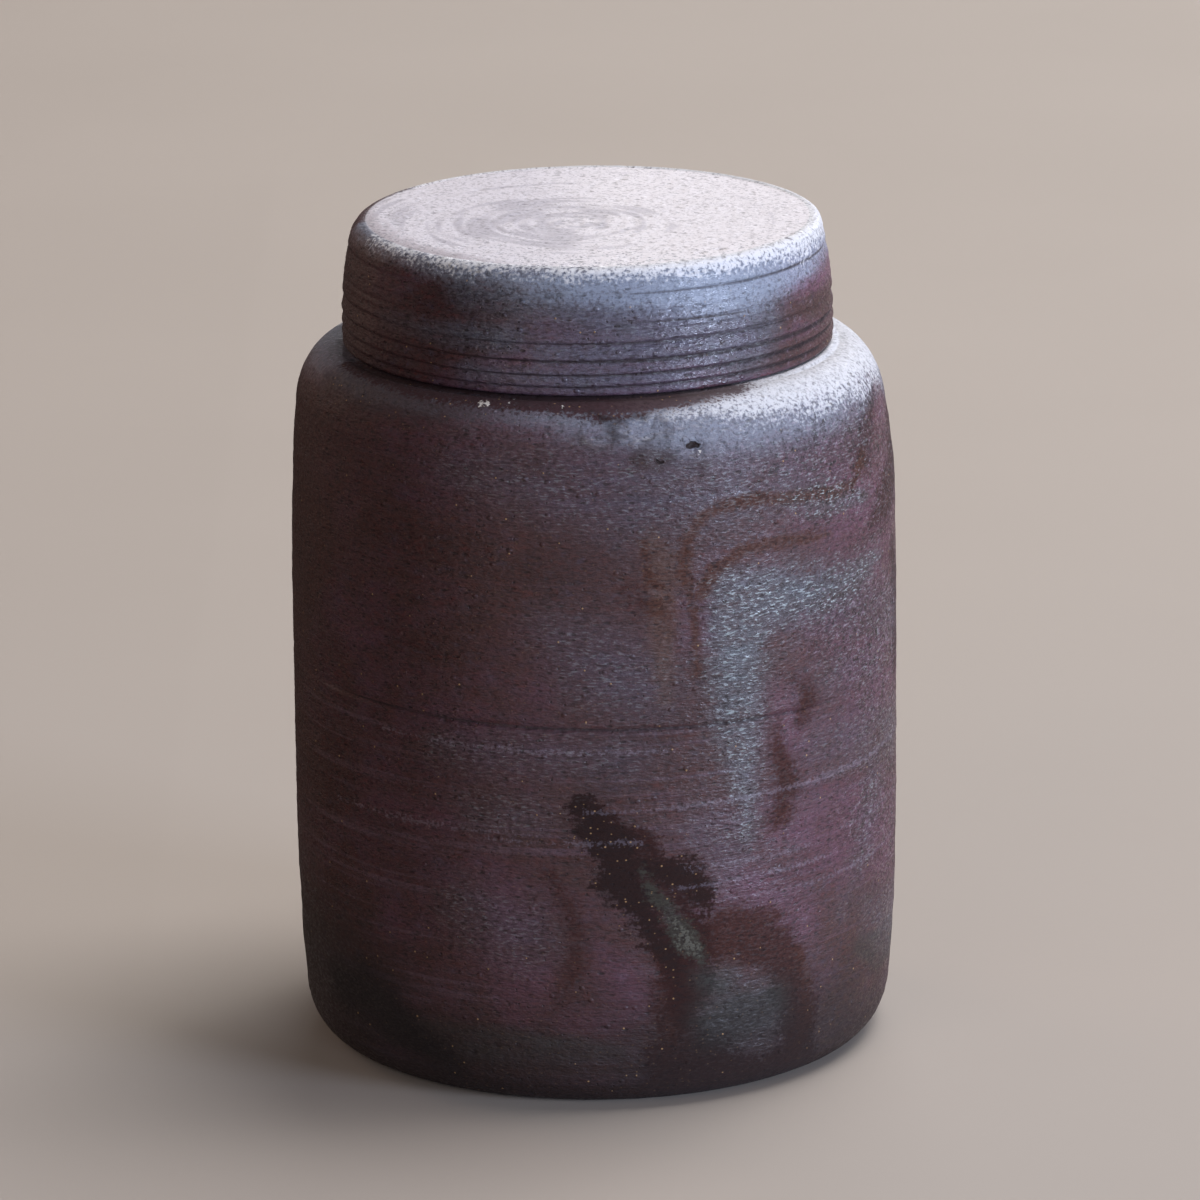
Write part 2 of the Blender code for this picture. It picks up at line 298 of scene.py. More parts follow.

# What the fire left on the body, with some painted light and shade among it. Each mark is a set of strokes,
# and a stroke is a chain of azimuth, height and half-width.
bodyMarks = {
    # the side away from flame and lights, browner and duller: partly the clay, partly painted shade
    "umberAndShade": [
        [(-66, 98, 12), (-96, 92, 30), (-140, 98, 18)], [(-98, 70, 24), (-104, 20, 24), (-120, 60, 26)],
    ],
    # the side that faced the flame, rough with grains of ash
    "coarse": [
        [(30, 108, 2), (52, 104, 10), (86, 98, 18)], [(48, 80, 6), (70, 70, 14), (110, 66, 18)],
        [(60, 44, 6), (90, 34, 16), (120, 40, 14)],
    ],
    # painted shade: darker towards the foot, most on the left
    "footShade": [
        [(-180, -3, 16), (-90, -3, 32), (-62, -3, 28), (-40, -2, 16), (0, -3, 14), (12, -3, 19),
         (30, -3, 22), (48, -3, 20), (66, -3, 14), (90, -3, 12), (180, -3, 16)],
    ],
    # pink to mauve flashing
    "blush": [
        [(-0.5, 29, 0.8), (3.5, 24, 3.4), (6.5, 19.6, 4.6), (5, 17.4, 3)],
        [(-18, 36, 4), (-14, 22, 5), (-16, 16, 3)], [(-6, 15.4, 1.6), (4, 15.4, 2.2)],
        [(-48, 49, 1), (-30, 48, 2)], [(44, 96, 4), (56, 92, 7), (70, 88, 8)],
        [(38, 46, 4), (56, 40, 8), (74, 36, 8)], [(33, 70, 1), (38, 64, 4.5), (40, 58, 2.5)],
        [(30, 35, 4), (40, 28, 5)], [(60, 62, 4), (78, 66, 7), (96, 70, 6)], [(74, 112, 2), (80, 106, 4)],
        [(170, 60, 12), (-170, 72, 14)], [(-88, 116, 2.4), (-70, 116.4, 1.4)],
    ],
    # red-brown clay about the marks
    "rust": [
        [(14, 26, 3.4), (14.4, 20, 4.2), (14.6, 13, 4.6), (16, 6, 5), (32, 3, 4), (44, 4, 3)],
        [(14, 26, 4), (20, 29, 4.4), (28, 29, 4.6), (35, 26, 4.6), (40, 19, 4), (42, 9, 3.6)],
        [(36, 61, 0.5), (38, 52, 3), (36, 47, 0.8)], [(40, 70, 0.8), (43, 66, 2.6), (41, 62, 1)],
        [(58, 99, 0.8), (63, 103, 2.2), (68, 109, 3), (74, 112, 2.6)],
        [(66, 92, 2), (80, 96, 5), (88, 100, 6)], [(78, 84, 1), (84, 76, 5), (82, 64, 3)],
        # this stroke, under the lid's rim, is partly painted shade
        [(-34, 117.4, 0.5), (-12, 117.2, 0.9), (20, 117.2, 1.1), (36, 117.2, 0.7)],
        [(6.5, 87, 0.7), (9.6, 85.6, 1.8), (11.6, 84.6, 0.8)],
        [(-9, 40, 0.6), (-5, 34, 1.4), (-3.6, 29, 1.6), (-6, 22, 1.3), (-7.5, 18.5, 0.5)],
        [(110, 30, 4), (130, 20, 9), (150, 14, 4)], [(-142, 80, 0.6), (-136, 68, 3), (-130, 54, 1)],
    ],
    "ochre": [
        [(41, 24, 0.4), (43.6, 18, 1.3), (44, 10, 1.3), (41, 5.4, 0.6)],
        [(17, 27, 0.3), (16, 20, 1), (14, 12, 0.8)],
    ],
    # olive bloom over the heel
    "olive": [
        [(-44, 10, 3), (-30, 10.4, 3.4), (-16, 10.6, 3.4), (-4, 10.6, 2.4), (4, 10, 1)],
        [(60, 20, 2), (70, 17, 4), (84, 16, 4)], [(180, 10, 4), (-160, 10, 3)],
    ],
    # smooth blue-grey skin that takes the light; its blue-grey is partly a painted sheen
    "silverAndSheen": [
        [(26.2, 86, 3.6), (27.4, 82, 5), (27.2, 76, 5), (27, 66, 4), (28, 57, 2.2), (29, 50, 0.8),
         (29, 44, 0.2)],
        [(27, 86.4, 3), (35, 84.6, 4.4), (44, 83.6, 3.8), (55, 83.4, 2.4), (68, 85, 1.4)],
        [(40, 100, 1), (52, 98, 2), (62, 96, 1)],
        [(-164, 24, 4), (-156, 36, 5), (-150, 50, 2.4), (-148, 60, 0.6)],
        [(138, 104, 6), (146, 92, 6), (149, 80, 3.6), (150, 66, 2), (150, 54, 0.5)],
        [(150, 90, 3), (168, 94, 3), (-176, 98, 1)],
    ],
    # the same skin where it is thinner; its grey-blue is partly a painted sheen
    "hazeAndSheen": [
        [(30, 84, 4), (46, 82.6, 5), (60, 78, 5), (76, 73, 5)],
        [(24, 104, 1.6), (40, 104.6, 2.2), (56, 104.4, 1)], [(34, 108, 3), (50, 108.6, 5), (62, 108, 4)],
        [(46, 58, 2), (62, 56, 5), (78, 53, 5)], [(-26, 107, 3), (6, 104, 8), (34, 104.5, 5), (46, 104, 3)],
        [(-8, 82, 3), (0, 76, 7), (8, 72, 6)], [(50, 69, 2), (66, 68, 3)],
        [(62, 26, 2), (72, 22, 4), (80, 20, 5)], [(54, 28, 1), (62, 38, 3), (66, 48, 4)],
        [(20, 47, 1.6), (25, 42, 1.4)], [(-30, 60.4, 1.5), (-8, 60.4, 3.4), (6, 60.2, 3)],
        [(-24, 34, 4), (-14, 30, 5)], [(-24, 50, 1.6), (-12, 50.4, 2.6)],
    ],
    # lines where the rib rubbed the wet clay smooth, painted paler: partly their own tone, partly a painted
    # highlight on their ridges
    "rubAndHighlight": [
        [(-44, 61.6, 0.05), (-10, 61.3, 0.25), (16, 61, 0.05)],
        [(-2, 51.2, 0.05), (20, 51.5, 0.25), (54, 51.9, 0.35), (88, 52.3, 0.2)],
        [(-24, 46, 0.05), (-4, 46, 0.2), (8, 46, 0.05)],
        [(16, 40.6, 0.05), (32, 40.9, 0.2), (46, 41, 0.05)],
        [(14, 37.7, 0.05), (30, 38, 0.3), (52, 38.2, 0.1)],
        [(34, 34.4, 0.05), (56, 34.6, 0.2), (80, 35, 0.1)],
        [(52, 42, 0.05), (66, 42.2, 0.2), (80, 42.4, 0.1)],
        [(-58, 47.3, 0.05), (-30, 47.2, 0.2), (-12, 47.3, 0.05)],
        [(60, 63, 0.05), (68, 62.9, 0.2), (78, 63.1, 0.1)],
    ],
    "tan": [
        [(10.6, 96, 1.4), (12.6, 92, 2.6), (12.6, 86, 2.4), (12.4, 78, 2), (13, 70, 1.2)],
        [(120, 96, 2.5), (126, 88, 4), (124, 76, 2)],
    ],
    # two lines of flame that turn down from the right shoulder and run down the front
    "flame": [
        [(17.6, 92, 1.2), (17, 85, 2.3), (17, 75, 2.4), (17, 66, 2.3), (17.5, 61.5, 0.6)],
        [(150, 108, 2), (154, 96, 2.5), (152, 80, 3.5), (156, 62, 2.5), (155, 48, 1)],
    ],
    "arc": [
        [(63, 102.7, 1.2), (57.7, 98.6, 1.1), (44.3, 99.6, 0.95), (32.7, 101, 0.9), (24.5, 100.6, 0.95),
         (20.4, 99.1, 1), (17.4, 95.6, 1.1), (16.8, 90, 1.2), (18.6, 84, 0.9), (19, 74, 0.8)],
        [(50, 92.2, 0.7), (36, 93.4, 1.3), (27.7, 92.7, 1.4), (22.6, 90.6, 1.3), (19.5, 86.3, 1.2)],
        [(9.2, 96, 0.45), (10.2, 89.9, 0.6), (14.3, 86.3, 0.8)],
    ],
    # the flame's dark shadow low on the front, and another to the left of it
    "scorch": [
        [(-2.6, 52.4, 1.4), (-0.8, 50, 2.6), (2, 46.6, 3.4), (3.4, 42, 3.8), (4.8, 38.6, 4.2),
         (7.6, 35, 3.4), (10, 31, 2.4), (12.4, 27, 1.4), (15, 23, 0.6)],
        [(10.5, 41, 1.4), (15, 39.6, 2.4), (19.4, 37.6, 1.6), (19.6, 33, 1)],
        [(196, 6, 3), (204, 16, 6), (214, 30, 7), (218, 44, 3), (224, 52, 0.6)],
    ],
    # red-brown about it
    "char": [
        [(-2.8, 53, 1.2), (-1, 51, 2.4), (2, 48, 3.6), (4.4, 45, 4.8), (6, 41.6, 5.4), (8.6, 38.8, 5.8),
         (11.6, 36.4, 6.2), (13.6, 32.6, 5.6), (15, 29, 4.6), (15.4, 25, 3.6), (15.6, 21, 2.6),
         (15.6, 15, 1.4)],
        [(14.5, 40.5, 1.4), (18, 39.4, 2.4), (19.8, 36.4, 1.4), (20.2, 31, 1.2), (20.4, 26, 1.4),
         (19.6, 22, 1.6)],
        [(198, 8, 4), (206, 18, 8), (216, 32, 9), (220, 46, 4)],
    ],
    # a soft dark shadow to the left of it, on the heel
    "heelShadow": [[(-60, 15, 3.6), (-52, 15.4, 4.4), (-44, 13.6, 4), (-36, 9, 3), (-30, 6, 2)]],
    "ember": [[(-52, 14.4, 1.2), (-46, 13.4, 1.4)]],
    # grey-olive run of melted ash, with a painted highlight along its middle
    "streak": [
        [(8.2, 41, 0.4), (9.4, 38.6, 0.9), (11.4, 36, 1.1), (13.4, 33.4, 1.6), (15.6, 30.6, 2.2),
         (18, 27.6, 1.9), (19.6, 25.4, 0.9)],
        [(200, 22, 1), (208, 30, 2.6), (212, 38, 1.4)],
    ],
    # the painted highlight along the middle of the run
    "runHighlight": [[(13, 33.4, 0.1), (15.4, 30.8, 0.5), (16.4, 29, 0.9), (18.6, 26.8, 0.5)]],
    "blot": [
        [(22.6, 14, 4), (27, 14.4, 5), (33, 14.4, 5)], [(20, 22, 1), (24, 20, 2.4)],
        [(130, 16, 5), (138, 13, 6)],
    ],
    # a thin blue-grey bloom of ash below the thick of it, partly a painted sheen on the shoulder
    "bloomAndSheen": [
        [(-110, 117.5, 4), (-84, 116.4, 1.2), (-66, 117, 0.4), (-30, 117.2, 0.8), (-20, 117, 1.4),
         (4, 115.4, 2.8), (16, 114.6, 4.6), (30, 114.6, 5), (50, 114.6, 5), (62, 115, 4.4),
         (80, 115.6, 3.2), (100, 113, 8), (150, 112, 8), (-150, 114, 5)],
    ],
    "smudge": [
        [(-1.6, 114.4, 0.1), (-2, 113, 0.35), (-1, 111.4, 0.3), (0.4, 110.8, 0.1)],
        [(0.2, 115, 0.3), (1.8, 115.5, 0.2)], [(5.4, 114.9, 0.35), (6.4, 114.2, 0.2)],
        [(13.4, 115.2, 0.1), (14.6, 114.2, 0.25), (14.2, 113, 0.1)],
        [(8, 109.4, 1.2), (12, 108.9, 1.8), (15, 109.4, 0.8)], [(20.6, 108.2, 0.6), (21.8, 107.6, 0.7)],
    ],
    # crumbs of ash and sand that lie along the lid
    "crumbs": [
        [(-70, 115.2, 1.4), (-54, 115, 2.4), (-36, 115.4, 1.8), (-16, 116.6, 0.7), (20, 117.2, 0.4)],
    ],
    # the dull red line under the lid: partly the clay's red, partly painted shade under the lid's rim
    "seam": [
        [(-70, 117.3, 0.3), (-34, 117, 0.9), (0, 116.9, 1.1), (20, 117.1, 0.9), (32, 117.5, 0.5),
         (44, 118.4, 0.1)],
    ],
    # ash that settled on the shoulder, more of it to the right and at the back, where the light falls: partly
    # real ash, partly a painted sheen
    "dustAndSheen": [
        [(6, 118.6, 0.6), (16, 118, 2), (26, 118, 2.8), (45, 117.8, 4), (75, 117.5, 5), (110, 118, 6),
         (150, 118, 6), (-150, 118, 5), (-110, 118, 1.5)],
    ],
    # painted shade in the scored line
    "grooveShade": [[(-64, 65.9, 0.02), (-50, 65.77, 0.16), (0, 65, 0.2), (30, 64.5, 0.17), (50, 64.2, 0.02)]],
    # pale chips along the lid's rim, and a painted highlight in the pit's hollow
    "chipsAndHighlight": [
        [(18.8, 109.6, 0.06), (19.4, 109.4, 0.22)], [(20.3, 110, 0.06), (20.8, 109.8, 0.18)],
        [(-24.6, 116.6, 0.1), (-24, 116.65, 0.22), (-22.4, 116.6, 0.22), (-21.8, 116.6, 0.1)],
        [(-18.2, 116.9, 0.14), (-17.6, 116.9, 0.2)], [(-6.4, 116.8, 0.12), (-6.1, 116.8, 0.16)],
    ],
}


# Points on an ellipse's arc, from start to end degrees, about a spacing apart
def arcPoints(centre, across, up, start, end, spacing):
    steps = max(2, round(math.radians(abs(end - start)) * (across + up) / 2 / spacing))
    points = []
    for step in range(steps + 1):
        turn = math.radians(start + (end - start) * step / steps)
        points.append((centre[0] + across * math.cos(turn), centre[1] + up * math.sin(turn)))
    return points


def wallPoints(radiusAt, low, high, spacing):
    steps = max(1, round(abs(high - low) / spacing))
    heights = [low + (high - low) * step / steps for step in range(steps + 1)]
    return [(radiusAt(height), height) for height in heights]


# The barrel's rows, closer together beside each ring so that it shows
def barrelRows(low, high):
    fine = [ring[0] for ring in body["rings"]] + [body["lineHeight"], body["lineHeight"] - body["lineSlope"]]
    heights = [low]
    while heights[-1] < high:
        near = min(abs(heights[-1] + body["fineRow"] - place) for place in fine) < body["fineReach"]
        heights.append(heights[-1] + (body["fineRow"] if near else body["rowHeight"]))
    return [(barrelRadius(height), height) for height in heights[1:-1]] + [(barrelRadius(high), high)]


def barrelRadius(height):
    start, end = body["heelHeight"], body["ledge"] - body["shoulderHeight"]
    away = abs(height - (start + end) / 2) / ((end - start) / 2)
    return body["belly"] - body["tuck"] * away ** body["barrelPower"]


def insideRadius(height):
    return barrelRadius(height) - body["wall"]


def bodyOutline():
    endRadius = body["belly"] - body["tuck"]
    foot = endRadius - body["heelWidth"]
    rise, ledge, top = body["shoulderHeight"], body["ledge"], body["neckTop"]
    shoulderStart = ledge - rise
    ledgeEdge = endRadius - body["shoulderWidth"]
    neck, lip, fillet = body["neckRadius"], body["neckWall"] / 2, body["neckFillet"]
    mouth = neck - body["neckWall"]
    spring = ledge - body["ledgeThickness"] - rise
    corner, recess, spacing = body["floorFillet"], body["footRecess"], body["spacing"]
    row = body["flatRow"]
    low = body["floorTop"] + corner
    under = [(radius, recess) for radius in range(0, 4 * row, row)]
    under += arcPoints((foot - body["footRing"] - recess, 0), recess, recess, 90, 0, spacing["recess"])
    under += [(foot - 5, 0), (foot - 2, 0)]
    outside = arcPoints(
        (foot, body["heelHeight"]), body["heelWidth"], body["heelHeight"], -90, 0, body["rowHeight"]
    )
    outside += barrelRows(body["heelHeight"], shoulderStart)
    outside += arcPoints(
        (ledgeEdge, shoulderStart), body["shoulderWidth"], rise, 0, 90, spacing["shoulder"]
    )[1:]
    hidden = [(ledgeEdge - step, ledge) for step in (1, 2, 3.5)]
    hidden += arcPoints((neck + fillet, ledge + fillet), fillet, fillet, 270, 180, spacing["fillet"])
    hidden += wallPoints(lambda height: neck, ledge + 2, top - lip - 1, spacing["stem"])
    hidden += arcPoints((neck - lip, top - lip), lip, lip, 0, 180, spacing["lip"])
    hidden += wallPoints(lambda height: mouth, top - lip - 4, spring + rise, spacing["inside"])
    hidden += arcPoints((mouth, spring), insideRadius(spring) - mouth, rise, 90, 0, spacing["vault"])[1:]
    hidden += wallPoints(insideRadius, spring, low, spacing["inside"])[1:]
    hidden += arcPoints((insideRadius(low) - corner, low), corner, corner, 0, -90, spacing["corner"])[1:]
    hidden += [(radius, body["floorTop"]) for radius in range(4 * row, -1, -row)]
    return under, outside, hidden


# Turns an outline into a closed shell: a quarter turn, mirrored twice. Each stretch of it has a skin, kept on
# the vertices: 0 inside and under, 1 on the outer wall, 2 on a flat top.
def turnOnWheel(stretches, segments):
    shape = bmesh.new()
    skin = shape.verts.layers.float.new("skin")
    line = []
    for points, amount in stretches:
        for radius, height in points:
            vert = shape.verts.new((0, -radius, height))
            vert[skin] = amount
            line.append(vert)
    edges = [shape.edges.new(pair) for pair in zip(line, line[1:])]
    bmesh.ops.spin(
        shape, geom=line + edges, cent=(0, 0, 0), axis=(0, 0, 1), angle=math.pi / 2, steps=segments // 4
    )
    for axis in "XY":
        everything = shape.verts[:] + shape.edges[:] + shape.faces[:]
        bmesh.ops.mirror(shape, geom=everything, axis=axis, merge_dist=1e-4)
    bmesh.ops.remove_doubles(shape, verts=shape.verts, dist=1e-4)
    bmesh.ops.recalc_face_normals(shape, faces=shape.faces)
    return shape


# Azimuth, height and radius of each point
def onWheel(points):
    x, y, height = points.T
    return np.degrees(np.arctan2(x, -y)), height, np.hypot(x, y)


# Noise at each point: how deep, its size in mm round the wheel and up the wall, and its place in the noise
def noiseAt(points, depth, across, up, place):
    spread = points / (across, across, up) + place
    return depth * np.array([noise.noise(point) for point in spread])


def noises(points, rows):
    return sum(noiseAt(points, *row) for row in rows)


def ease(share):
    share = np.clip(share, 0, 1)
    return share * share * (3 - 2 * share)


# A rise of 1 that has all but gone at twice its half-width
def ridge(away, halfWidth):
    return np.exp(-(away / halfWidth) ** 2)


# Degrees from one azimuth to another, the short way round
def turnFrom(start, azimuth):
    return (azimuth - start + 180) % 360 - 180


# 1 between two azimuths, falling to 0 over a few degrees past each
def sector(azimuth, start, end, fade):
    if end - start >= 360:
        return np.ones(len(azimuth))
    away = np.abs(turnFrom((start + end) / 2, azimuth))
    return ease(((end - start) / 2 + fade / 2 - away) / fade)


farOutside = -12  # mm, the least depth that a mark can have


# How deep inside a mark's strokes each point lies, in mm, below 0 outside. reach is mm to a degree.
def markDepth(azimuth, height, reach, strokes):
    depth = np.full(len(height), farOutside)
    for stroke in strokes:
        for (fromTurn, fromHeight, fromWidth), (toTurn, toHeight, toWidth) in zip(stroke, stroke[1:]):
            across, up = turnFrom(fromTurn, azimuth) * reach, height - fromHeight
            runAcross, runUp = turnFrom(fromTurn, toTurn) * reach, toHeight - fromHeight
            share = np.clip((across * runAcross + up * runUp) / (runAcross ** 2 + runUp ** 2), 0, 1)
            away = np.hypot(across - share * runAcross, up - share * runUp)
            depth = np.maximum(depth, fromWidth + (toWidth - fromWidth) * share - away)
    return depth


# Lumps and pits, each down to a quarter at its half-length and half-height. sideways gives mm from a lump.
def lumpRelief(sideways, up, lumps):
    relief = np.zeros(len(up))
    for place, height, halfLength, halfHeight, rise in lumps:
        away = (sideways(place) / halfLength) ** 2 + ((up - height) / halfHeight) ** 2
        relief += rise * np.exp(-1.4 * away)
    return relief


# Moves the body's outer wall in and out: hand-thrown unevenness, rings, the scored line, lumps and pits
def bodyRelief(points, normals, skin):
    azimuth, height, radius = onWheel(points)
    reach = math.radians(1) * body["belly"]
    growFrom, growOver = body["ripplesGrow"]
    relief = noises(points, body["uneven"])
    relief += noiseAt(points, *body["ripples"]) * (1 + ease((growFrom - height) / growOver))
    wander = noiseAt(points, *body["wander"])
    for place, rise, width, start, end in body["rings"]:
        relief += rise * ridge(height + wander - place, width) * sector(azimuth, start, end, body["ringFade"])
    fainter, start, end, fade = body["lineFaint"]
    lipShare, below, lipWidth = body["lineLip"]
    line = body["lineHeight"] - body["lineSlope"] * np.sin(np.radians(azimuth)) + body["lineWander"] * wander
    profile = lipShare * ridge(height - line + below, lipWidth) - ridge(height - line, body["lineWidth"])
    relief += body["lineDepth"] * (1 - fainter * sector(azimuth, start, end, fade)) * profile
    relief += lumpRelief(lambda place: turnFrom(place, azimuth) * reach, height, body["lumps"])
    inside = (skin < 0.5) & (height > body["floorTop"] + 1) & (radius < body["belly"] - 3)
    inside &= height < body["ledge"] - body["ledgeThickness"] - 1
    depth, pitch = body["insideRings"]
    throwing = depth * np.sin(height * math.tau / pitch + np.radians(azimuth)) * inside
    moved = points + normals * (relief * skin + throwing)[:, None]
    slumpTo, start, over, inward, down = body["slump"]
    slump = skin * ease((height - start) / over)
    slump *= np.cos(np.radians(np.clip(np.abs(azimuth - slumpTo), 0, 90))) ** body["slumpPower"]
    radius = onWheel(moved)[2] + 1e-9
    moved[:, :2] *= (1 - inward * slump / radius)[:, None]
    moved[:, 2] -= down * slump
    above, seamRadius, width, depth, start, end, fade = body["seam"]
    seam = ridge(radius - seamRadius, width) * sector(azimuth, start, end, fade)
    moved[:, 2] -= depth * seam * (height > above)
    return moved


# Gives a turned shape its marks, its relief, its place and its links to the frame
def finishPiece(name, shape, material, sculpt, marks, extraMarks, reach, centre, bodyName, node):
    piece = addMesh(name, shape, material)
    mesh = piece.data
    count = len(mesh.vertices)
    points, normals, skin = np.empty(count * 3), np.empty(count * 3), np.empty(count)
    mesh.vertices.foreach_get("co", points)
    mesh.vertices.foreach_get("normal", normals)
    mesh.attributes["skin"].data.foreach_get("value", skin)
    points, normals = points.reshape(-1, 3), normals.reshape(-1, 3)
    azimuth, height, radius = onWheel(points)
    # the inside and the neck, which the fire's marks don't reach
    hidden = (skin < 0.5) & (height > 3) & (radius < body["neckRadius"] + 1.5)
    depths = {}
    for mark, strokes in marks.items():
        depths[mark] = np.where(hidden, farOutside, markDepth(azimuth, height, reach, strokes))
    if extraMarks:
        depths.update(extraMarks(points, azimuth, radius, skin))
    for mark, depth in depths.items():
        mesh.attributes.new(mark, "FLOAT", "POINT").data.foreach_set("value", depth.astype(np.float32))
    mesh.vertices.foreach_set("co", sculpt(points, normals, skin).ravel())
    mesh.transform(Matrix.Translation(centre) @ Matrix.Scale(mm, 4))
    mesh.shade_smooth()
    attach(piece, bodyName)
    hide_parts(node)
    print(name, len(mesh.polygons), "faces,", len(depths), "marks")


# Iron-bearing stoneware, thrown and wiped, then wood-fired without glaze: dark brown to mauve, satin where
# flame and ash vapour sealed it, so that each grain and drag mark takes a glint. Grit of 0.3 to 0.8 mm stands
# up or was torn out sideways. The finest grain is 0.1 to 0.2 mm, too fine to show, so it is drawn at 0.3 to
# 0.6 mm.
clay = {
    "brown": "#472e2f",
    "deep": "#392326",
    "mauve": "#5a3c4b",
    "raw": "#5f463a",  # inside and under, where no flame reached
    # the wiping lines' paler colour: partly their own tone, partly a painted highlight on their ridges
    "wipedAndHighlight": "#776374",
    "red": "#6a2f2a",
    "blue": "#50526a",
    # the colour of the painted glints
    "paintedGlint": "#b9c7c6",
    "speck": "#a5835a",
    "pit": "#1a0f10",
    "stain": "#1e100f",
    "fleck": "#a8929f",
    "tones": (("deep", 0.34), ("mauve", 0.62), ("brown", 0.48)),  # by the value of the cloud pattern
    "rawShare": 0.85,
    "wipedHeights": (60, 66),  # mm, between which the wiping goes from strong to faint
    "wipedShares": (0.65, 0.2),
    "wipedLines": (0.56, 0.72),  # of the drag pattern
    "crests": (0.46, 0.6),  # of the chatter, from dull hollow to shiny crest
    "dull": 0.52,  # roughness
    "shiny": 0.22,
    "ior": 1.5,
    "torn": 0.45,  # the drag pattern's part in a mark's torn edge
    "tear": 5,  # mm of edge for each unit of the noise that tears it
    "buried": 0.35,  # how much of the grain thick ash fills
}

# Uneven patterns: how far each is drawn out round the pot (1 is not at all), size in mm, detail and roughness
grains = {
    "grain": (0.6, 0.5, 1, 0.5),
    "lumps": (0.55, 1.6, 1, 0.5),
    "chatter": (0.42, 0.4, 3, 0.6),  # short ridges that the hand left in the slip
    "drag": (0.014, 1.3, 2, 0.55),  # long lines from wiping
    "cloud": (0.7, 24, 4, 0.6),
    "torn": (0.5, 5, 6, 0.66),
    "tinge": (0.5, 1.3, 3, 0.7),
    "speckle": (1, 0.6, 2, 0.6),
    "glitter": (0.26, 0.3, 2, 0.5),
    "pepper": (0.8, 1, 4, 0.85),  # coarse grains on the side that faced the flame
}

# Scattered spots: drawn out, spacing in mm, share of the places that have one, and the two radii between
# which a spot fades, as shares of the spacing
specks = {
    "grit": (0.8, 2.3, 0.6, 0.05, 0.2),
    "tears": (0.4, 0.75, 0.3, 0.12, 0.4),
    "pits": (1, 1.4, 0.5, 0.08, 0.17),
    "flecks": (1, 2, 0.25, 0.05, 0.11),
    "gold": (0.8, 0.9, 0.5, 0.07, 0.2),
}

# How far each pattern lies from the one before, in metres, so that no two show the same noise
grainShift = (0.2, 0.13, 0.07)
speckShift = (0.3, 0.11, 0.17)

# Grains of another colour: pattern, the values between which it sets in, strength and colour
tinges = [("tinge", 0.52, 0.66, 0.35, "red"), ("tinge", 0.46, 0.32, 0.25, "blue")]
# the chatter's and the glitter's dark hollows are painted shade between their crests
tints = [
    ("chatter", 0.45, 0.34, 0.4, "pit"), ("glitter", 0.48, 0.36, 0.4, "pit"), ("tears", 0, 1, 0.45, "pit"),
    ("pits", 0, 1, 0.65, "pit"), ("flecks", 0, 1, 0.9, "speck"),
]
ashTints = [
    ("tears", 0, 1, 0.3, "stain"), ("pits", 0, 1, 0.1, "stain"), ("speckle", 0.49, 0.37, 0.32, "stain"),
]
peppers = [(0.46, 0.38, 3.2, "pit"), (0.57, 0.67, 1.5, "fleck")]  # on the coarse side

paintedGlintMarks = [("silverAndSheen", 0.56), ("hazeAndSheen", 0.24), ("coarse", 0.36)]  # marks with painted glints, and how many
paintedGlintPatterns = [("chatter", 0.61, 0.7), ("glitter", 0.56, 0.67)]  # patterns whose crests get painted glints
gilding = [("scorch", 0.95), ("crumbs", 1.3)]  # marks with more of the golden specks
gildedAnywhere = 0.14

# Dents in the body's shoulder, from something that touched the wet clay: azimuth, height and radius of the
# middle, half-width and half-height, depth, all but the first in mm, and how much painted shade darkens the
# hollow
dents = [
    (1.4, 113, 47, 3.2, 2.6, 0.4, 0), (10.2, 113.3, 46.8, 4.6, 2, 0.4, 0),
    (19.6, 110.3, 48.2, 1.1, 0.7, 0.35, 1.3), (12.6, 108.8, 48.2, 0.6, 0.5, 0.3, 1.1),
]
dentLook = {
    "bendSize": 3.2,  # mm, of the noise that bends a dent's outline
    "bend": 5,  # mm
    "reach": 20,  # mm in and out of the wall
    "hollow": (1.15, 0.45),  # where the hollow starts and where it is full, in half-widths
    "rim": 0.42,  # half-width of the rim round it
    "stained": (0.48, 0.64, 0.6),  # the torn pattern's values for a stained rim, and how strong the stain is
    "dull": 0.4,
}

# Relief in mm. A pattern's values run about 0.25 either side of its middle.
reliefs = [
    ("lumps", 0.22), ("grain", 0.07), ("chatter", 0.17), ("glitter", 0.1), ("grit", 0.18), ("tears", -0.07),
    ("pits", -0.08), ("flecks", 0.05),
]
dragRelief, silverRelief, coarseRelief = 0.26, 0.13, 0.9
hollowRelief, rimRelief = -0.6, 0.06


def clayPatterns(tree, coords):
    pattern = {}
    for place, (kind, (drawn, size, detail, rough)) in enumerate(grains.items()):
        shift = [place * step for step in grainShift]
        spread = addNode(tree, "Mapping", {"Vector": coords, "Scale": (drawn, drawn, 1), "Location": shift})
        pattern[kind] = addNode(tree, "TexNoise", {
            "Vector": spread, "Scale": 1 / (size * mm), "Detail": detail, "Roughness": rough,
        })
    for place, (kind, (drawn, size, wanted, inner, outer)) in enumerate(specks.items()):
        shift = [place * step for step in speckShift]
        spread = addNode(tree, "Mapping", {"Vector": coords, "Scale": (drawn, drawn, 1), "Location": shift})
        away = addNode(tree, "TexVoronoi", {"Vector": spread, "Scale": 1 / (size * mm)})
        lot = addNode(tree, "SeparateXYZ", [away.node.outputs["Color"]])
        chosen = addNode(tree, "Math", [lot, wanted], operation="LESS_THAN")
        pattern[kind] = addNode(tree, "MapRange", [away, outer, inner, 0, chosen], **smooth)
    return pattern
